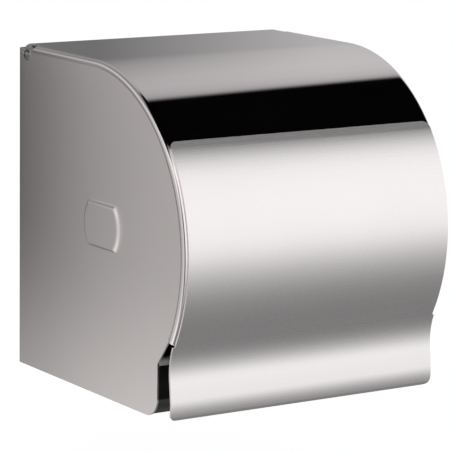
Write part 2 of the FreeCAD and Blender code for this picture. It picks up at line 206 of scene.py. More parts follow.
# How far across a ray goes, as the X of its direction, where the back turns, where it grows
# brighter, and where the dim far left takes over.
TURN_ACROSS, BACK_ACROSS, FAR_LEFT = (0.5, 0.6), (0.5, 0.57), (-0.15, -0.40)


def share_of_turn(degrees):
    """An angle from -180 to 180 as a share from 0 to 1."""
    return (degrees + 180) / 360


def room_ramp(tree, share, stops):
    ramp = node(tree, "ValToRGB", share)
    fill_ramp(ramp, [(share_of_turn(degrees), grey) for degrees, grey in stops])
    return ramp.outputs["Color"]


def make_world():
    world = bpy.data.worlds.new("studio")
    scene.world = world
    world.use_nodes = True
    tree = world.node_tree
    tree.nodes.clear()
    x, y, z = node(tree, "SeparateXYZ", node(tree, "TexCoord").outputs["Generated"]).outputs
    ahead = node(tree, "Math", y, -1, operation="MULTIPLY").outputs[0]
    angle = node(tree, "Math", z, ahead, operation="ARCTAN2").outputs[0]
    share = graded(tree, angle, -math.pi, math.pi)
    askew = graded(tree, x, *TURN_ACROSS, LEFT_TURN / 360, RIGHT_TURN / 360)
    back = node(tree, "Math", share, share_of_turn(BACK_FROM), operation="GREATER_THAN").outputs[0]
    share = node(tree, "Math", askew, back, share, operation="MULTIPLY_ADD").outputs[0]
    room = node(tree, "Mix", data_type="RGBA", Factor=graded(tree, x, *BACK_ACROSS),
                A=room_ramp(tree, share, LEFT_ROOM), B=room_ramp(tree, share, RIGHT_ROOM))
    all_round = node(tree, "Mix", data_type="RGBA", Factor=graded(tree, x, *FAR_LEFT),
                     A=room.outputs["Result"], B=room_ramp(tree, share, BEHIND_LEFT))
    reflected = node(tree, "Background", Color=all_round.outputs["Result"])
    pale = node(tree, "Background", Color=(0.93, 0.94, 0.95, 1), Strength=0.75)
    white = node(tree, "Background", Color=(1, 1, 1, 1), Strength=1.0)
    rays = node(tree, "LightPath")
    sharp = mixed(tree, rays.outputs["Is Glossy Ray"], pale.outputs[0], reflected.outputs[0])
    seen = mixed(tree, rays.outputs["Is Camera Ray"], sharp, white.outputs[0])
    node(tree, "OutputWorld", seen)
    print("studio with", len(LEFT_ROOM), "and", len(RIGHT_ROOM), "stops of brightness")


make_world()

# %% [markdown]
# ## Lamp and floor
# One large soft lamp above and in front gives the plastics and the floor a gentle direction of
# light. The metals don't show it, because their reflection is the studio's. The floor lies a
# little below the box, as a table under a hung sample would. It is white to the camera, and part
# of that white is plain diffuse light, so the object's shadow stays on it.

# %% Lamp and floor
FLOOR_UP = -60
FLOOR_HALF = 6
FLOOR_GLOW_SHARE = 0.86


def make_lamp(name, place, aim, size, power):
    data = bpy.data.lights.new(name, "AREA")
    data.size = size
    data.energy = power
    lamp = bpy.data.objects.new(name, data)
    scene.collection.objects.link(lamp)
    lamp.location = place
    lamp.rotation_mode = "QUATERNION"
    lamp.rotation_quaternion = (Vector(aim) - Vector(place)).to_track_quat("-Z", "Y")
    lamp.visible_glossy = False


def add_object(name, mesh, paint):
    """An object in the scene from a drawn mesh, with its first material."""
    data = bpy.data.meshes.new(name)
    mesh.to_mesh(data)
    mesh.free()
    data.materials.append(paint)
    thing = bpy.data.objects.new(name, data)
    scene.collection.objects.link(thing)
    return thing


def empty_paint(name):
    """A material without nodes yet."""
    paint = bpy.data.materials.new(name)
    paint.use_nodes = True
    paint.node_tree.nodes.clear()
    return paint


def make_floor():
    paint = empty_paint("pale_floor")
    tree = paint.node_tree
    lit = node(tree, "BsdfDiffuse", Color=(0.93, 0.93, 0.93, 1))
    glow = node(tree, "Emission", Color=(1, 1, 1, 1), Strength=1.06)
    seen = node(tree, "LightPath").outputs["Is Camera Ray"]
    share = node(tree, "Math", seen, FLOOR_GLOW_SHARE, operation="MULTIPLY").outputs[0]
    node(tree, "OutputMaterial", mixed(tree, share, lit.outputs[0], glow.outputs[0]))
    mesh = bmesh.new()
    bmesh.ops.create_grid(mesh, x_segments=1, y_segments=1, size=FLOOR_HALF)
    bmesh.ops.translate(mesh, verts=mesh.verts, vec=at(0, 0, FLOOR_UP))
    floor = add_object("floor", mesh, paint)
    floor.visible_glossy = False
    print("floor at", FLOOR_UP, "mm from the lowest edge")


make_lamp("softbox", place=(-0.5, -0.9, 1.1), aim=(0, -0.06, 0), size=0.9, power=7)
make_floor()

# %% [markdown]
# ## Card beside the left wall
# A flat wall reflects one spot of a far room, so it would come out as one flat grey. In the
# photograph it shades from dark at the back to bright at the front and the bottom, as a wall does
# beside a graded card. So one card stands near the left wall, graded by its own coordinates. Its
# front end is dark, which draws the thin dark line along the hood's bend. Only reflections see
# it: it casts no shadow and the camera looks through it.

# %% Card beside the left wall
def make_card(name, width, height, matrix, grades, colour):
    """A glowing card; each grade is an axis and where its level goes from one to another."""
    paint = empty_paint(name + "_glow")
    tree = paint.node_tree
    place = node(tree, "SeparateXYZ", node(tree, "TexCoord").outputs["Object"])
    total = 0.0
    for axis, *ends in grades:
        level = graded(tree, place.outputs[axis], *ends, run="SMOOTHSTEP")
        total = node(tree, "Math", total, level, operation="ADD").outputs[0]
    glow = node(tree, "Emission", Color=colour, Strength=total)
    node(tree, "OutputMaterial", glow.outputs[0])
    mesh = bmesh.new()
    bmesh.ops.create_grid(mesh, x_segments=1, y_segments=1, size=0.5)
    bmesh.ops.scale(mesh, verts=mesh.verts, vec=(width, height, 1))
    bmesh.ops.transform(mesh, verts=mesh.verts, matrix=matrix)
    card = add_object(name, mesh, paint)
    card.visible_camera = False
    card.visible_diffuse = False
    card.visible_shadow = False
    print(name, "with", len(grades), "grades")


UPRIGHT = Matrix.Rotation(math.pi / 2, 4, "Y")
LEFT_GRADES = [("Y", 0.03, 0.19, 0.45, 0.22), ("Y", 0.125, 0.18, 0.0, -0.18),
               ("Y", -0.21, -0.14, -0.72, 0.0), ("Y", -0.17, -0.07, 0.35, 0.0),
               ("Z", -0.17, -0.04, 0.34, 0.0), ("Z", 0.045, 0.055, 0.0, 0.22)]
make_card("left_card", width=0.36, height=0.72, grades=LEFT_GRADES,
          matrix=Matrix.Translation((-0.16, 0.1, -0.06)) @ UPRIGHT, colour=(1.0, 0.985, 0.97, 1))

# %% [markdown]
# ## Metal finishes
# Sheet steel leaves the mill or the polisher with fine lines that run one way. They scatter the
# reflection across the lines and leave it sharp along them. An image could show them, but a noise
# that is stretched along one axis does it at any size: it varies the roughness a little and tips
# the surface by a hair through a bump. What makes mirror, brushed or satin is the roughness and
# the depth of the lines. The hue is nearly the same in all of them. The rivets are painted dark,
# as a dark reflection, and the apron and the insides are painted dark, as shade.

# %% Metal finishes
def new_finish(name):
    """A material for a slot, with its node tree and the places on the object."""
    finish = bpy.data.materials.new(name + "_finish")
    finish.use_nodes = True
    tree = finish.node_tree
    print("made", finish.name)
    return finish, tree, node(tree, "TexCoord").outputs["Object"]


def work_surface(tree, fine, coarse, colour, tints, roughness, spread, depth):
    """Fine noise varies the roughness and tips the surface, and coarse noise varies the colour
    between two tints."""
    surface = tree.nodes["Principled BSDF"].inputs
    darker, lighter = [(*[min(1, part * tint) for part in colour], 1) for tint in tints]
    cloud = node(tree, "Mix", data_type="RGBA", Factor=coarse, A=darker, B=lighter)
    bump = node(tree, "Bump", Strength=1.0, Distance=depth, Height=fine)
    rough = graded(tree, fine, 0, 1, roughness - spread, roughness + spread)
    feed(tree, surface["Roughness"], rough)
    feed(tree, surface["Base Color"], cloud.outputs["Result"])
    feed(tree, surface["Normal"], bump.outputs[0])
    return surface


def metal(name, colour, roughness, grain, spread, depth):
    """Steel with lines: grain is the noise per metre along X, Y and Z."""
    finish, tree, places = new_finish(name)
    stretched = node(tree, "Mapping", Vector=places, Scale=grain).outputs[0]
    lines = node(tree, "TexNoise", Vector=stretched, Scale=1.0, Detail=3.0, Roughness=0.6)
    patches = node(tree, "TexNoise", Vector=places, Scale=30.0, Detail=2.0)
    surface = work_surface(tree, lines.outputs[0], patches.outputs[0], colour, (0.98, 1.02),
                           roughness, spread, depth)
    surface["Metallic"].default_value = 1.0
    return finish


# Each has its slot, colour, roughness, grain, the roughness's spread and the lines' depth.
mirror = metal("mirror_steel", (0.95, 0.89, 0.898), 0.055, (60, 900, 900), 0.015, 0.0000002)
brushed = metal("brushed_flap", (0.93, 0.90, 0.895), 0.28, (40, 5200, 5200), 0.05, 0.000004)
satin = metal("satin_steel", (0.92, 0.88, 0.88), 0.27, (1400, 250, 1400), 0.008, 0.00000004)
# The rivets' dark colour is a painted dark reflection.
rivet = metal("rivet_steel", (0.26, 0.26, 0.25), 0.10, (900, 900, 900), 0.03, 0.000001)
drawn = metal("tube_steel", (0.86, 0.86, 0.85), 0.26, (3000, 120, 120), 0.05, 0.000002)
# The insides' dark colour is painted shade.
painted_shade_inside = metal("satin_steel", (0.20, 0.195, 0.19), 0.42, (2500, 300, 2500), 0.05, 0.000003)
# The apron's dark colour is painted shade; the next, rolled strip keeps the steel's pale colour.
apron = metal("satin_steel", (0.13, 0.125, 0.125), 0.25, (40, 900, 900), 0.03, 0.0000002)
rolled = metal("satin_steel", (0.95, 0.93, 0.93), 0.75, (40, 900, 900), 0.03, 0.0000002)
wire = metal("spring_wire", (0.78, 0.78, 0.77), 0.24, (1500, 1500, 1500), 0.05, 0.000002)

# %% [markdown]
# ## Plastic finishes
# The seats and plugs are injection moulded, and the hinge washers are cut from nylon sheet.
# Moulded plastic has a fine even texture from the tool and a soft sheen, so a small isotropic
# noise drives the bump and the roughness. The pale plugs let a little light in, which shows as a
# softer edge, so they get some subsurface scattering. The washers' nylon is painted dark grey,
# as the shade that falls between the hood's ears and the case.

# %% Plastic finishes
def plastic(name, colour, roughness, inside):
    """Moulded plastic: inside is the share of the light that is scattered under its skin."""
    finish, tree, places = new_finish(name)
    texture = node(tree, "TexNoise", Vector=places, Scale=2600.0, Detail=2.0)
    flow = node(tree, "TexNoise", Vector=places, Scale=90.0, Detail=3.0)
    surface = work_surface(tree, texture.outputs[0], flow.outputs[0], colour, (0.94, 1.04),
                           roughness, spread=0.06, depth=0.000012)
    surface["Subsurface Weight"].default_value = inside
    surface["Subsurface Scale"].default_value = 0.001
    return finish


# The washers' dark grey is painted shade.
nylon = plastic("white_nylon", (0.22, 0.215, 0.205), 0.5, 0.0)
seat_plastic = plastic("seat_plastic", (0.30, 0.31, 0.32), 0.42, 0.0)
plug_plastic = plastic("plug_plastic", (0.62, 0.63, 0.63), 0.40, 0.05)

# %% [markdown]
# ## Carrying a line along a path
# Nearly every piece here is sheet that was cut flat and then bent, or wire, or a turned shape. So
# one helper serves them all: it takes a tip, which is a single vertex or a whole row of edges, and
# carries it along straight runs and arcs with Blender's own extrude and spin. From a vertex comes
# an outline, and from a row comes a bent sheet.

# %% Carrying a line along a path
def only(kind, geometry):
    """The corners, edges or faces among what a step returns."""
    return [item for item in geometry if isinstance(item, kind)]


def carry(mesh, tip, place, moves, x=0.0):
    """Carries a tip at (front, up) along moves: a (front, up) to run to, or a (centre, angle,
    steps) to turn about, a positive angle turning down at the front. Returns the last tip and
    its place."""
    for move in moves:
        if len(move) == 2:
            edges = only(bmesh.types.BMEdge, tip)
            if edges:
                grown = bmesh.ops.extrude_edge_only(mesh, edges=edges)["geom"]
            else:
                grown = bmesh.ops.extrude_vert_indiv(mesh, verts=tip)["verts"]
            fresh = set(only(bmesh.types.BMVert, grown))
            bmesh.ops.translate(mesh, verts=list(fresh), vec=at(0, *move) - at(0, *place))
            rows = [edge for edge in mesh.edges if set(edge.verts) <= fresh] if edges else []
            tip = list(fresh) + rows
            place = move
        else:
            centre, angle, steps = move
            tip = bmesh.ops.spin(mesh, geom=tip, cent=at(x, *centre), axis=(1, 0, 0),
                                 angle=math.radians(angle), steps=steps)["geom_last"]
            offset = Vector((place[0] - centre[0], place[1] - centre[1]))
            offset.rotate(Matrix.Rotation(math.radians(-angle), 2))
            place = (centre[0] + offset.x, centre[1] + offset.y)
    return tip, place


def row_across(mesh, xs, place):
    """A row of edges across the object, through these x."""
    corners = [mesh.verts.new(at(x, *place)) for x in xs]
    return corners + [mesh.edges.new(pair) for pair in zip(corners, corners[1:])]


def face_out(mesh, faces, outward):
    """Turns connected faces so that the largest one looks along a direction."""
    bmesh.ops.recalc_face_normals(mesh, faces=faces)
    largest = max(faces, key=lambda face: face.calc_area())
    if largest.normal.dot(Vector(outward)) < 0:
        bmesh.ops.reverse_faces(mesh, faces=faces)


# %% [markdown]
# ## Finishing a piece
# Cut steel never has a perfectly sharp edge: the tumbler or the polisher takes it off, and that
# thin band is what catches the light along every edge of the box. So each piece gets its wall
# with Solidify, a narrow Bevel on what is still sharp, and Weighted Normal, which keeps the large
# faces flat so that a mirror finish shows no dents.

# %% Finishing a piece
def finish_piece(name, mesh, finish, body, nodes, wall=0.0, edge=0.12, sharp=32, inside=None):
    """Makes the object, with its wall and edge in millimetres, and ties it to the frame."""
    piece = add_object(name, mesh, finish)
    data = piece.data
    data.shade_smooth()
    if wall:
        thicken = piece.modifiers.new("wall", "SOLIDIFY")
        thicken.thickness = wall * MM
        thicken.offset = -1
        thicken.use_even_offset = True
        if inside:
            data.materials.append(inside)
            thicken.material_offset = 1
    if edge:
        soften = piece.modifiers.new("edge", "BEVEL")
        soften.width = edge * MM
        soften.segments = 2
        soften.limit_method = "ANGLE"
        soften.angle_limit = math.radians(sharp)
        soften.miter_outer = "MITER_ARC"
    flatten = piece.modifiers.new("flat_faces_flat", "WEIGHTED_NORMAL")
    flatten.weight = 80
    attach(piece, body)
    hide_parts(*nodes)
    print(name, len(data.vertices), "vertices before its wall and edges")
    return piece


# %% [markdown]
# ## Section of the hood
# The hood is one polished sheet. Along both of its sides a narrow skirt is bent down over the
# case, a few degrees past upright so that its edge tucks in. A box with a bevel couldn't follow
# the hood's curve evenly, so the section with its two skirts is drawn once, to be carried along.

# %% Section of the hood
ARC_CENTRE = (61.0, 63.5)
HOOD_RADIUS = 67.8
HOOD_TOP = ARC_CENTRE[1] + HOOD_RADIUS
HOOD_SIDE = 61.0
EAR_SIDE = 58.4
SKIRT_DEPTH = 3.0
SKIRT_BEND = 1.7
SKIRT_ANGLE = 98.0
SKIRT_STEPS = 5


def skirt_section(mesh, front):
    """The hood's section at one distance from the wall, from a tucked edge up the skirt, round
    the bend, across the top and down the other side."""
    bent = math.radians(SKIRT_ANGLE)
    strip = (SKIRT_DEPTH - SKIRT_BEND * (1 - math.cos(bent))) / math.sin(bent)
    centre_x = SKIRT_BEND - HOOD_SIDE
    rim_x = centre_x - SKIRT_BEND * math.sin(bent) - strip * math.cos(bent)
    tip = [mesh.verts.new(at(rim_x, front, HOOD_TOP - SKIRT_DEPTH))]
    for step in range(SKIRT_STEPS):
        tip = bmesh.ops.extrude_vert_indiv(mesh, verts=only(bmesh.types.BMVert, tip))["verts"]
        bmesh.ops.translate(mesh, verts=tip, vec=Vector(
            (math.cos(bent), 0, math.sin(bent))) * strip / SKIRT_STEPS * MM)
    tip = bmesh.ops.spin(mesh, geom=tip, cent=at(centre_x, front, HOOD_TOP - SKIRT_BEND),
                         axis=(0, 1, 0), angle=bent, steps=9)["geom_last"]
    ear = bmesh.ops.extrude_vert_indiv(mesh, verts=only(bmesh.types.BMVert, tip))["verts"]
    bmesh.ops.translate(mesh, verts=ear, vec=at(-EAR_SIDE, front, HOOD_TOP) - ear[0].co)
    bmesh.ops.mirror(mesh, geom=mesh.verts[:] + mesh.edges[:], matrix=Matrix.Identity(4),
                     merge_dist=0, axis="X")
    tops = sorted((vert for vert in mesh.verts if abs(vert.co.z - ear[0].co.z) < IN_LINE),
                  key=lambda vert: abs(vert.co.x))[:2]
    mesh.edges.new(tops)
    return mesh.verts[:] + mesh.edges[:]


# %% [markdown]
# ## Ears of the hood
# At the rear two ears fold down inside the case, and the rivets go through them. Like the inside,
# they are painted dark, as shade. An ear is a flat plate with a round end, so its outline is
# carried round from a vertex and filled, with the rivet's hole left open.

# %% Ears of the hood
HINGE = (7.2, 127.0)
HINGE_HOLE = 1.55
EAR_SLACK = 0.15
EAR_REACH = 8.0
EAR_FRONT = 2.2


def hinge_hole(mesh, x):
    """The rim of the rivet's hole in a sheet at this x, and its corners."""
    turned = Matrix.Translation(at(x, *HINGE)) @ Matrix.Rotation(math.pi / 2, 4, "Y")
    return bmesh.ops.create_circle(mesh, segments=28, radius=HINGE_HOLE * MM,
                                   matrix=turned)["verts"]


def hood_ear(mesh, side):
    """The ear with its rivet hole, folded down inside the case on one side."""
    before = set(mesh.faces)
    x = side * (EAR_SIDE - EAR_SLACK)
    reach = HINGE[0] + EAR_REACH
    first = mesh.verts.new(at(x, reach, HOOD_TOP - SHEET / 2))
    tip, _ = carry(mesh, [first], (reach, HOOD_TOP - SHEET / 2), [
        (HINGE[0], HOOD_TOP - SHEET / 2), (HINGE, -180, 18),
        (reach, HOOD_TOP - SHEET - EAR_FRONT)], x=x)
    mesh.edges.new((only(bmesh.types.BMVert, tip)[0], first))
    hinge_hole(mesh, x)
    rim = [edge for edge in mesh.edges if not edge.link_faces
           and all(abs(vert.co.x - x * MM) < IN_LINE for vert in edge.verts)]
    bmesh.ops.triangle_fill(mesh, edges=rim, use_beauty=True)
    ear = list(set(mesh.faces) - before)
    face_out(mesh, ear, (side, 0, 0))
    # Index 1 is the inside's colour, painted dark as shade.
    for face in ear:
        face.material_index = 1


# %% [markdown]
# ## Hood
# The hood runs level from a small roll at the rear and then follows a large curve down the front,
# so its section is carried along that line. The skirts begin at a leaning cut at the rear and end
# in round tips. The polishing wheel reaches the top and the bends, and the skirts below them keep
# the satin of the sheet.

# %% Hood
HOOD_SWEEP = 119
TIP_CORNER = 1.45
NOTCH_FRONT = 12.0
NOTCH_LEAN = 3.6
# Faces that look this much sideways are skirts.
SKIRT_FACING = 0.8


def round_tips(verts):
    """Rounds the skirts' corners at the front end by turning them back about the curve."""
    for vert in verts:
        middle = at(vert.co.x / MM, *ARC_CENTRE)
        spoke = vert.co - middle
        radius = spoke.length / MM
        past = min(TIP_CORNER, HOOD_RADIUS - radius - SKIRT_DEPTH + TIP_CORNER)
        if past > 0:
            back = TIP_CORNER - math.sqrt(TIP_CORNER ** 2 - past ** 2)
            vert.co = middle + Matrix.Rotation(-back / radius, 3, "X") @ spoke


def make_hood():
    mesh = bmesh.new()
    cut = NOTCH_FRONT + NOTCH_LEAN
    row = skirt_section(mesh, cut)
    last, _ = carry(mesh, row, (cut, HOOD_TOP), [
        ARC_CENTRE[:1] + (HOOD_TOP,), (ARC_CENTRE, HOOD_SWEEP, 84)])
    round_tips(only(bmesh.types.BMVert, last))
    for vert in only(bmesh.types.BMVert, row):
        drop = at(0, 0, HOOD_TOP).z - vert.co.z
        vert.co.y += NOTCH_LEAN * drop / SKIRT_DEPTH
    rear = [edge for edge in only(bmesh.types.BMEdge, row)
            if all(abs(vert.co.x) < EAR_SIDE * MM + BESIDE for vert in edge.verts)]
    ends = list({vert for edge in rear for vert in edge.verts})
    carry(mesh, ends + rear, (cut, HOOD_TOP), [(HINGE[0], HOOD_TOP), (HINGE, -90, 12)])
    bmesh.ops.remove_doubles(mesh, verts=mesh.verts, dist=TOUCHING)
    face_out(mesh, mesh.faces[:], (0, -0.4, 1))
    for face in mesh.faces:
        if abs(face.normal.x) > SKIRT_FACING:
            face.material_index = 2
    for side in (-1, 1):
        hood_ear(mesh, side)
    # Its inside and its ears are painted dark as shade, and its skirts are satin.
    hood = finish_piece("hood_cover", mesh, mirror, "hood", ["hood"], wall=SHEET, edge=0.2,
                        inside=painted_shade_inside)
    hood.data.materials.append(satin)


make_hood()

# %% [markdown]
# ## Bends of the flap
# The flap is a second sheet, brushed across, that lies on the front of the hood. Below the hood's
# tips it turns down, flares out by a few degrees and curls back to a lip. It could be cut from a
# solid, but a row of edges that is spun and run down the path on which the real sheet is bent
# keeps every bend true.

# %% Bends of the flap
FLAP_GAP = 0.05
FLAP_RADIUS = HOOD_RADIUS + FLAP_GAP + SHEET
FLAP_TOP_ANGLE = 38.7
FLAP_SIDE = 59.6
LOWER_SIDE = 60.5
LEAVE_ANGLE = 27.4
BLEND_RADIUS = 27.0
FLARE = 7.0
LIP_FROM = 5.0
LIP_RADIUS = 20.0
CURL_FROM = 13.0
CURL_RADIUS = 2.1
CURL_ANGLE = 62.0
BOTTOM = 1.3


def bend_flap(mesh):
    """Carries the flap's row of edges down its path. Returns how far up its top edge and the
    centre of its curl are."""
    top = on_circle(*ARC_CENTRE, FLAP_RADIUS, FLAP_TOP_ANGLE)
    blend = on_circle(*ARC_CENTRE, FLAP_RADIUS + BLEND_RADIUS, -LEAVE_ANGLE)
    row = row_across(mesh, (-LOWER_SIDE, -FLAP_SIDE, FLAP_SIDE, LOWER_SIDE), top)
    row, place = carry(mesh, row, top, [
        (ARC_CENTRE, FLAP_TOP_ANGLE + LEAVE_ANGLE, 20), (blend, -LEAVE_ANGLE - FLARE, 14)])
    curl_up = BOTTOM + CURL_RADIUS * math.sin(math.radians(CURL_ANGLE))
    curl_from_up = on_circle(0, curl_up, CURL_RADIUS, -CURL_FROM)[1]
    lip_from_up = curl_from_up + LIP_RADIUS * (
        math.sin(math.radians(LIP_FROM)) + math.sin(math.radians(CURL_FROM)))
    gentle = (place[1] - lip_from_up) / (
        math.sin(math.radians(FLARE)) - math.sin(math.radians(LIP_FROM)))
    for radius, start, end, steps in ((gentle, FLARE, LIP_FROM, 6),
                                      (LIP_RADIUS, LIP_FROM, -CURL_FROM, 12),
                                      (CURL_RADIUS, -CURL_FROM, -CURL_ANGLE, 16)):
        centre = on_circle(*place, -radius, start)
        row, place = carry(mesh, row, place, [(centre, start - end, steps)])
    print("the lower run bends with a radius of", round(gentle, 1), "mm")
    return top[1], curl_up


# %% [markdown]
# ## Front flap
# Below the hood's tips the flap is wider by a small shoulder on each side, and all its corners are
# cut round. That is done on the bent sheet while its sides are still open edges. The lip's corners
# are longer than its short bending steps, so a bevel would stop at the first step, and they are
# drawn in along X instead.

# %% Front flap
SHOULDER_UP = 29.8
UPPER_CORNER = 3.1
SHOULDER_CORNER = 1.0
LIP_CORNER = 3.4
# The seam's edges are shorter than SHORT_EDGE, and a corner nearer than NEAR_LEVEL is on a level.
SHORT_EDGE, NEAR_LEVEL = 20, 1.5


def cut_shoulders(mesh):
    """Takes away the side strips above the shoulders, and below them the seams to the strips."""
    bmesh.ops.bisect_plane(mesh, geom=mesh.verts[:] + mesh.edges[:] + mesh.faces[:],
                           plane_co=at(0, 0, SHOULDER_UP), plane_no=(0, 0, 1))
    level = at(0, 0, SHOULDER_UP).z + 2 * IN_LINE
    above = [face for face in mesh.faces if face.calc_center_median().z > level
             and abs(face.calc_center_median().x) > FLAP_SIDE * MM]
    bmesh.ops.delete(mesh, geom=above, context="FACES")
    seams = [edge for edge in mesh.edges if len(edge.link_faces) == 2
             and all(abs(abs(vert.co.x) - FLAP_SIDE * MM) < IN_LINE for vert in edge.verts)
             and edge.calc_length() < SHORT_EDGE * MM]
    bmesh.ops.dissolve_edges(mesh, edges=seams, use_verts=True)


def round_corners(mesh, top_up):
    """Rounds the corners at the flap's top edge and at its shoulders."""
    corners = [vert for vert in mesh.verts if len(vert.link_edges) == 2]
    for radius, near in ((UPPER_CORNER, top_up), (SHOULDER_CORNER, SHOULDER_UP)):
        here = [vert for vert in corners if vert.is_valid
                and abs(vert.co.z - at(0, 0, near).z) < NEAR_LEVEL * MM]
        bmesh.ops.bevel(mesh, geom=here, offset=radius * MM, segments=6, profile=0.5,
                        affect="VERTICES", material=-1, clamp_overlap=True)
        print("flap corners at", round(near, 1), "made round:", len(here))


def draw_in_lip(mesh, curl_up):
    """Rounds the lip's corners by their distance from its end, measured along the curl."""
    for vert in mesh.verts:
        height = (vert.co.z / MM + SCREW_CENTRE_UP - curl_up) / CURL_RADIUS
        from_end = math.asin(min(1.0, max(-1.0, height))) + math.radians(CURL_ANGLE)
        short = min(LIP_CORNER, LIP_CORNER - CURL_RADIUS * from_end)
        if 0 < short and abs(vert.co.x) > LOWER_SIDE * MM - BESIDE:
            pull = LIP_CORNER - math.sqrt(LIP_CORNER ** 2 - short ** 2)
            vert.co.x -= math.copysign(pull * MM, vert.co.x)


def make_flap():
    mesh = bmesh.new()
    top_up, curl_up = bend_flap(mesh)
    cut_shoulders(mesh)
    round_corners(mesh, top_up)
    draw_in_lip(mesh, curl_up)
    face_out(mesh, mesh.faces[:], (0, -1, 0))
    finish_piece("flap_plate", mesh, brushed, "hood", ["front_flap"], wall=SHEET, edge=0.25,
                 inside=satin)


make_flap()

# %% [markdown]
# ## Pressed boss
# Each side wall of the case carries a boss, round with a flat top and bottom, which is pressed out
# so that the roller's seat can be keyed behind it. A block could be joined on, but a press leaves
# a hollow with soft bends. So the outline is inset three times, for the foot, the slope and the
# top, and the two bends between them are bevelled.

# %% Pressed boss
BOSS = (67.5, 67.4)
BOSS_RADIUS, BOSS_FLAT = 14.9, 10.5
BOSS_FOOT, BOSS_SLOPE, BOSS_TOP = 1.4, 1.1, 0.7
BOSS_HEIGHT = 1.2
BOSS_BEND = 0.42


def boss_ring(mesh, x, radius, flat):
    """The outline round a boss: a circle with a flat top and bottom."""
    half = math.sqrt(radius ** 2 - flat ** 2)
    sweep = 2 * math.degrees(math.atan2(flat, half))
    front, up = BOSS
    first = mesh.verts.new(at(x, front + half, up + flat))
    tip, _ = carry(mesh, [first], (front + half, up + flat), [
        (BOSS, sweep, 10), (front - half, up - flat), (BOSS, sweep, 10)])
    mesh.edges.new((only(bmesh.types.BMVert, tip)[0], first))
    bmesh.ops.remove_doubles(mesh, verts=mesh.verts, dist=TOUCHING)


def press_boss(mesh, x):
    """The boss itself: a flat ring round it, its slope and its top, with both bends made soft."""
    boss_ring(mesh, x, BOSS_RADIUS, BOSS_FLAT)
    face = bmesh.ops.contextual_create(mesh, geom=mesh.edges[:])["faces"][0]
    bmesh.ops.recalc_face_normals(mesh, faces=[face])
    if face.normal.x < 0:
        bmesh.ops.reverse_faces(mesh, faces=[face])
    bends = []
    for width, height in ((BOSS_FOOT, 0), (BOSS_SLOPE, BOSS_HEIGHT), (BOSS_TOP, 0)):
        bmesh.ops.inset_region(mesh, faces=[face], thickness=width * MM, depth=height * MM,
                               use_even_offset=True, use_boundary=True)
        bends.append(list(face.edges))
    bmesh.ops.bevel(mesh, geom=bends[0] + bends[1], offset=BOSS_BEND * MM, segments=4,
                    profile=0.5, affect="EDGES", material=-1, clamp_overlap=True)
    return [edge for edge in mesh.edges if len(edge.link_faces) == 1]


# %% [markdown]
# ## Case
# The case is the part that is screwed to the wall: a back plate and two side walls, folded from
# one satin sheet. Each wall follows the hood's curve from inside. Half of the case is drawn as
# outlines, filled, folded and then mirrored, which keeps both sides alike.

# %% Case
CASE_SIDE = 59.8
CASE_TOP = 129.2
CASE_FRONT = 108.7
FOLD = 1.6
WALL_RADIUS = 66.6
WALL_END_ANGLE = 20
FRONT_CORNER = 8
FRONT_EDGE_UP = 21.5
SCREW_SIDE, SCREW_UPS, SCREW_HOLE = 40, (33, 103), 2.6


def wall_outline(mesh, x):
    """The side wall's outline from the fold, round the front and back to the fold."""
    first = mesh.verts.new(at(x, FOLD, 0))
    curve_end = on_circle(*ARC_CENTRE, WALL_RADIUS, -WALL_END_ANGLE)
    top = 180 - math.degrees(math.asin((CASE_TOP - ARC_CENTRE[1]) / WALL_RADIUS))
    before = set(mesh.edges)
    bottom_end = CASE_FRONT - FRONT_CORNER
    tip, _ = carry(mesh, [first], (FOLD, 0), [
        (bottom_end, 0), ((bottom_end, FRONT_CORNER), -90, 10), (CASE_FRONT, FRONT_EDGE_UP),
        curve_end, (ARC_CENTRE, -WALL_END_ANGLE - top, 60), (FOLD, CASE_TOP)])
    rear = mesh.edges.new((only(bmesh.types.BMVert, tip)[0], first))
    return rear, list(set(mesh.edges) - before)


def side_wall(mesh):
    """Fills a wall round its boss and its hinge hole. Returns its rear edge, for the fold."""
    ring = press_boss(mesh, CASE_SIDE)
    rear, outline = wall_outline(mesh, CASE_SIDE)
    holes = list({edge for vert in hinge_hole(mesh, CASE_SIDE) for edge in vert.link_edges})
    bmesh.ops.triangle_fill(mesh, edges=outline + ring + holes, use_beauty=True)
    return rear


def half_back(mesh, rear):
    """Folds on from a wall's rear edge to the middle of the back, which gets its screw holes."""
    fold_axis = at(CASE_SIDE - FOLD, FOLD, 0)
    folded = bmesh.ops.spin(mesh, geom=list(rear.verts) + [rear], cent=fold_axis,
                            axis=(0, 0, 1), angle=math.pi / 2, steps=6)["geom_last"]
    last = only(bmesh.types.BMEdge, folded)[0]
    plate = bmesh.ops.extrude_vert_indiv(mesh, verts=list(last.verts))
    for vert in plate["verts"]:
        vert.co.x = 0
    middle = mesh.edges.new(plate["verts"])
    screws = []
    for up in SCREW_UPS:
        back = Matrix.Translation(at(SCREW_SIDE, 0, up)) @ Matrix.Rotation(math.pi / 2, 4, "X")
        hole = bmesh.ops.create_circle(mesh, segments=32, radius=SCREW_HOLE * MM,
                                       matrix=back)["verts"]
        screws += list({edge for vert in hole for edge in vert.link_edges})
    bmesh.ops.triangle_fill(mesh, edges=[last, middle] + plate["edges"] + screws,
                            use_beauty=True)


def make_case():
    mesh = bmesh.new()
    half_back(mesh, side_wall(mesh))
    bmesh.ops.mirror(mesh, geom=mesh.verts[:] + mesh.edges[:] + mesh.faces[:],
                     matrix=Matrix.Identity(4), merge_dist=TOUCHING, axis="X")
    bmesh.ops.remove_doubles(mesh, verts=mesh.verts, dist=TOUCHING)
    bmesh.ops.recalc_face_normals(mesh, faces=mesh.faces)
    wall = max((face for face in mesh.faces
                if face.calc_center_median().x > (CASE_SIDE - SHEET) * MM),
               key=lambda face: face.calc_area())
    if wall.normal.x < 0:
        bmesh.ops.reverse_faces(mesh, faces=mesh.faces)
    # Its inside is painted dark as shade.
    finish_piece("case_shell", mesh, satin, "case", ["case"], wall=SHEET, edge=0.12, inside=painted_shade_inside)


make_case()
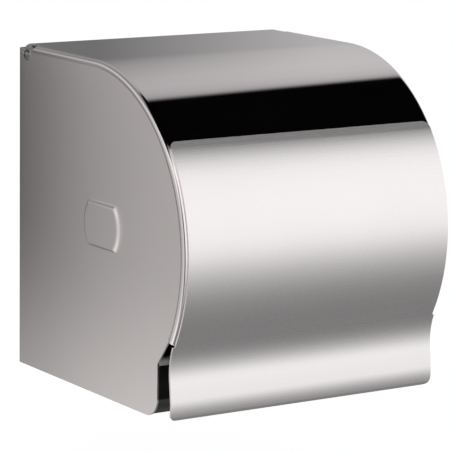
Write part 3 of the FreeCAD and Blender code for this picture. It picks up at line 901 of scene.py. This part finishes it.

# %% [markdown]
# ## Base pan
# Behind the flap, an apron closes the front of the box up to the paper slit. Its upper edge is
# rolled inward so that it doesn't cut the paper, and below it turns round the bottom corner into
# the floor of the box. The sheet is carried along that path from its rolled end. The apron's
# colour is painted dark, as the shade in the slit behind the flap, and the strip that is worked
# by the roll keeps the steel's pale colour and is rough.

# %% Base pan
PAN_SIDE = 58.9
PAN_ROLL, PAN_ROLL_RADIUS, PAN_ROLL_ANGLE = (107.0, 22.0), 1.4, 262
ROLL_END = (108.4, 20.4)
APRON_FOOT = (108.4, 8.0)
FOOT_CENTRE = (100.7, 8.0)
FLOOR_END = (0.9, 0.3)


def make_base_pan():
    mesh = bmesh.new()
    start = on_circle(*PAN_ROLL, PAN_ROLL_RADIUS, PAN_ROLL_ANGLE)
    row = row_across(mesh, (-PAN_SIDE, PAN_SIDE), start)
    carry(mesh, row, start, [
        (PAN_ROLL, PAN_ROLL_ANGLE, 26), ROLL_END, APRON_FOOT, (FOOT_CENTRE, 90, 14), FLOOR_END])
    face_out(mesh, mesh.faces[:], (0, 0, -1))
    for face in mesh.faces:
        if face.calc_center_median().z > at(0, *ROLL_END).z:
            face.material_index = 1
    # The apron is painted dark as shade, and its rolled strip is pale steel.
    pan = finish_piece("apron_pan", mesh, apron, "case", ["base_pan"], wall=SHEET, edge=0.1)
    pan.data.materials.append(rolled)


make_base_pan()

# %% [markdown]
# ## Turned pieces
# Rivets, washers, tubes, plugs and the round part of a seat are all bodies of revolution about a
# line across the object. Each is drawn as half a section, a few corners with their distance along
# X and from the axis, and spun once round. Their corners are then rounded as a lathe tool or a
# mould leaves them.

# %% Turned pieces
WALL_INSIDE = 59.0
SHANK_RADIUS, HEAD_RADIUS, HEAD_HEIGHT = 1.5, 2.3, 1.1
TAIL_FROM, TAIL_END, TAIL_RADIUS = 57.5, 56.9, 2.4
WASHER_FROM, WASHER_RADIUS = 58.5, 4.0


def turn(mesh, corners, centre, steps=64, closed=False):
    """Spins a half section of (x, radius) corners about the line across at (front, up)."""
    points = [mesh.verts.new(at(x, centre[0], centre[1] + radius)) for x, radius in corners]
    pairs = list(zip(points, points[1:])) + ([(points[-1], points[0])] if closed else [])
    edges = [mesh.edges.new(pair) for pair in pairs]
    bmesh.ops.spin(mesh, geom=points + edges, cent=at(0, *centre), axis=(1, 0, 0),
                   angle=math.tau, steps=steps, use_merge=True)
    bmesh.ops.remove_doubles(mesh, verts=mesh.verts, dist=TOUCHING)
    bmesh.ops.recalc_face_normals(mesh, faces=mesh.faces)


def dome(base_x, radius, height, steps=7):
    """The half section of a domed head, from its rim to its top."""
    ball = (radius ** 2 + height ** 2) / (2 * height)
    spread = math.asin(radius / ball)
    return [(base_x + height - ball + ball * math.cos(spread * (1 - i / steps)),
             ball * math.sin(spread * (1 - i / steps))) for i in range(steps + 1)]


def make_rivet(name, side):
    mesh = bmesh.new()
    section = [(TAIL_END, 0), (TAIL_END, TAIL_RADIUS), (TAIL_FROM, TAIL_RADIUS),
               (TAIL_FROM, SHANK_RADIUS), (CASE_SIDE, SHANK_RADIUS)]
    section += dome(CASE_SIDE, HEAD_RADIUS, HEAD_HEIGHT)
    turn(mesh, [(side * x, radius) for x, radius in section], HINGE, 40)
    finish_piece("rivet_" + name, mesh, rivet, "case", ["hinge_rivets"], edge=0.1)


def make_washer(name, side):
    mesh = bmesh.new()
    section = [(WASHER_FROM, HINGE_HOLE), (WASHER_FROM, WASHER_RADIUS),
               (WALL_INSIDE, WASHER_RADIUS), (WALL_INSIDE, HINGE_HOLE)]
    turn(mesh, [(side * x, radius) for x, radius in section], HINGE, 48, closed=True)
    finish_piece("washer_" + name, mesh, nylon, "case", ["hinge_washer_" + name], edge=0.06)


make_rivet("left", -1)
make_rivet("right", 1)
make_washer("left", -1)
make_washer("right", 1)

# %% [markdown]
# ## Roller seats
# A seat is moulded: a round flange lies on the inside of the wall, a boss with a blind socket
# takes the roller's journal, and at the back a key fills the pressed pocket so that the seat can't
# turn. The round part is turned, and the key is the outline of the pocket, extruded.

# %% Roller seats
ROLLER = (67.5, 68.3)
SOCKET_END, SOCKET_RADIUS = 58.5, 4.15
HUB_END, HUB_RADIUS = 53.0, 8.0
FLANGE_FROM, FLANGE_RADIUS = 58.0, 15.0
KEY_FROM, KEY_DEPTH = 58.9, 1.15
KEY_RADIUS, KEY_FLAT = 12.2, 7.8


def make_seat(name, side):
    mesh = bmesh.new()
    section = [(SOCKET_END, 0), (SOCKET_END, SOCKET_RADIUS), (HUB_END, SOCKET_RADIUS),
               (HUB_END, HUB_RADIUS), (FLANGE_FROM, HUB_RADIUS), (FLANGE_FROM, FLANGE_RADIUS),
               (WALL_INSIDE, FLANGE_RADIUS), (WALL_INSIDE, 0)]
    turn(mesh, [(side * x, radius) for x, radius in section], ROLLER, 72)
    before = set(mesh.edges)
    boss_ring(mesh, side * KEY_FROM, KEY_RADIUS, KEY_FLAT)
    face = bmesh.ops.contextual_create(mesh, geom=list(set(mesh.edges) - before))["faces"][0]
    grown = bmesh.ops.extrude_face_region(mesh, geom=[face])["geom"]
    top = only(bmesh.types.BMVert, grown)
    bmesh.ops.translate(mesh, verts=top, vec=(side * KEY_DEPTH * MM, 0, 0))
    bmesh.ops.recalc_face_normals(mesh, faces=mesh.faces)
    finish_piece("seat_" + name, mesh, seat_plastic, "case", ["roller_seat_" + name],
                 edge=0.4, sharp=50)


make_seat("left", -1)
make_seat("right", 1)

# %% [markdown]
# ## Roller
# The paper turns on two steel tubes that slide in one another, each closed by a plug with a stub
# journal. The right-hand half gives way when it is pressed, so that the roller can be taken out.

# %% Roller
TUBE_WALL = 1
TUBE_END, TUBE_RADIUS = 50.0, 14.0
SPIGOT_END = 42
RIM_END = 52
JOURNAL_END, JOURNAL_RADIUS = 58.2, 4.1


def make_tube(name, body, node_name, first_x, last_x, radius):
    mesh = bmesh.new()
    bore = radius - TUBE_WALL
    turn(mesh, [(first_x, radius), (last_x, radius), (last_x, bore), (first_x, bore)],
         ROLLER, 96, closed=True)
    finish_piece(name, mesh, drawn, body, [node_name], edge=0.15)


def make_plug(name, side, body, spigot):
    mesh = bmesh.new()
    section = [(SPIGOT_END, 0), (SPIGOT_END, spigot), (TUBE_END, spigot),
               (TUBE_END, TUBE_RADIUS), (RIM_END, TUBE_RADIUS), (RIM_END, JOURNAL_RADIUS),
               (JOURNAL_END, JOURNAL_RADIUS), (JOURNAL_END, 0)]
    turn(mesh, [(side * x, radius) for x, radius in section], ROLLER, 72)
    finish_piece("plug_" + name, mesh, plug_plastic, body, ["roller_plug_" + name], edge=0.45)


make_tube("outer_tube", "roller", "roller_outer_tube", -TUBE_END, 15.0, TUBE_RADIUS)
make_tube("inner_tube", "roller_sprung_end", "roller_inner_tube", -11.0, TUBE_END, 12.8)
make_plug("left", -1, "roller", 12.97)
make_plug("right", 1, "roller_sprung_end", 11.77)

# %% [markdown]
# ## Spring
# A compression spring inside the tubes pushes the two ends apart. A round section is spun about
# the roller's axis while it also moves along it, which is just how a coiling machine feeds the
# wire. Its two ends turn along the axis and rest on the plugs.

# %% Spring
WIRE_RADIUS, COIL_RADIUS = 0.6, 8.0
TURNS, STEPS_A_TURN = 12, 36
END_BEND, END_RUN = 1.8, 1.2
SPRING_END = 41.98


def make_spring():
    mesh = bmesh.new()
    coil_end = SPRING_END - END_BEND - END_RUN
    coil_front = ROLLER[0] + COIL_RADIUS
    pitch = 2 * coil_end / TURNS
    facing = Matrix.Translation(at(-coil_end, coil_front, ROLLER[1]))
    section = bmesh.ops.create_circle(mesh, segments=10, radius=WIRE_RADIUS * MM,
                                      matrix=facing)["verts"]
    ring = section + list({edge for vert in section for edge in vert.link_edges})
    last = bmesh.ops.spin(mesh, geom=ring, cent=at(0, *ROLLER), axis=(1, 0, 0),
                          dvec=(pitch / STEPS_A_TURN * MM, 0, 0), angle=math.tau * TURNS,
                          steps=TURNS * STEPS_A_TURN)["geom_last"]
    ends = []
    for tip, side in ((ring, -1), (last, 1)):
        centre = at(side * (coil_end + END_BEND), coil_front, ROLLER[1])
        bent = bmesh.ops.spin(mesh, geom=tip, cent=centre, axis=(0, 1, 0),
                              angle=-side * math.pi / 2, steps=8)["geom_last"]
        grown = bmesh.ops.extrude_edge_only(mesh, edges=only(bmesh.types.BMEdge, bent))["geom"]
        fresh = only(bmesh.types.BMVert, grown)
        bmesh.ops.translate(mesh, verts=fresh, vec=(side * END_RUN * MM, 0, 0))
        ends.append(set(fresh))
    for fresh in ends:
        loop = [edge for edge in mesh.edges if set(edge.verts) <= fresh]
        bmesh.ops.contextual_create(mesh, geom=loop)
    bmesh.ops.recalc_face_normals(mesh, faces=mesh.faces)
    spring = finish_piece("coil_spring", mesh, wire, "roller", ["roller_spring"], edge=0)
    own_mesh(spring)


make_spring()
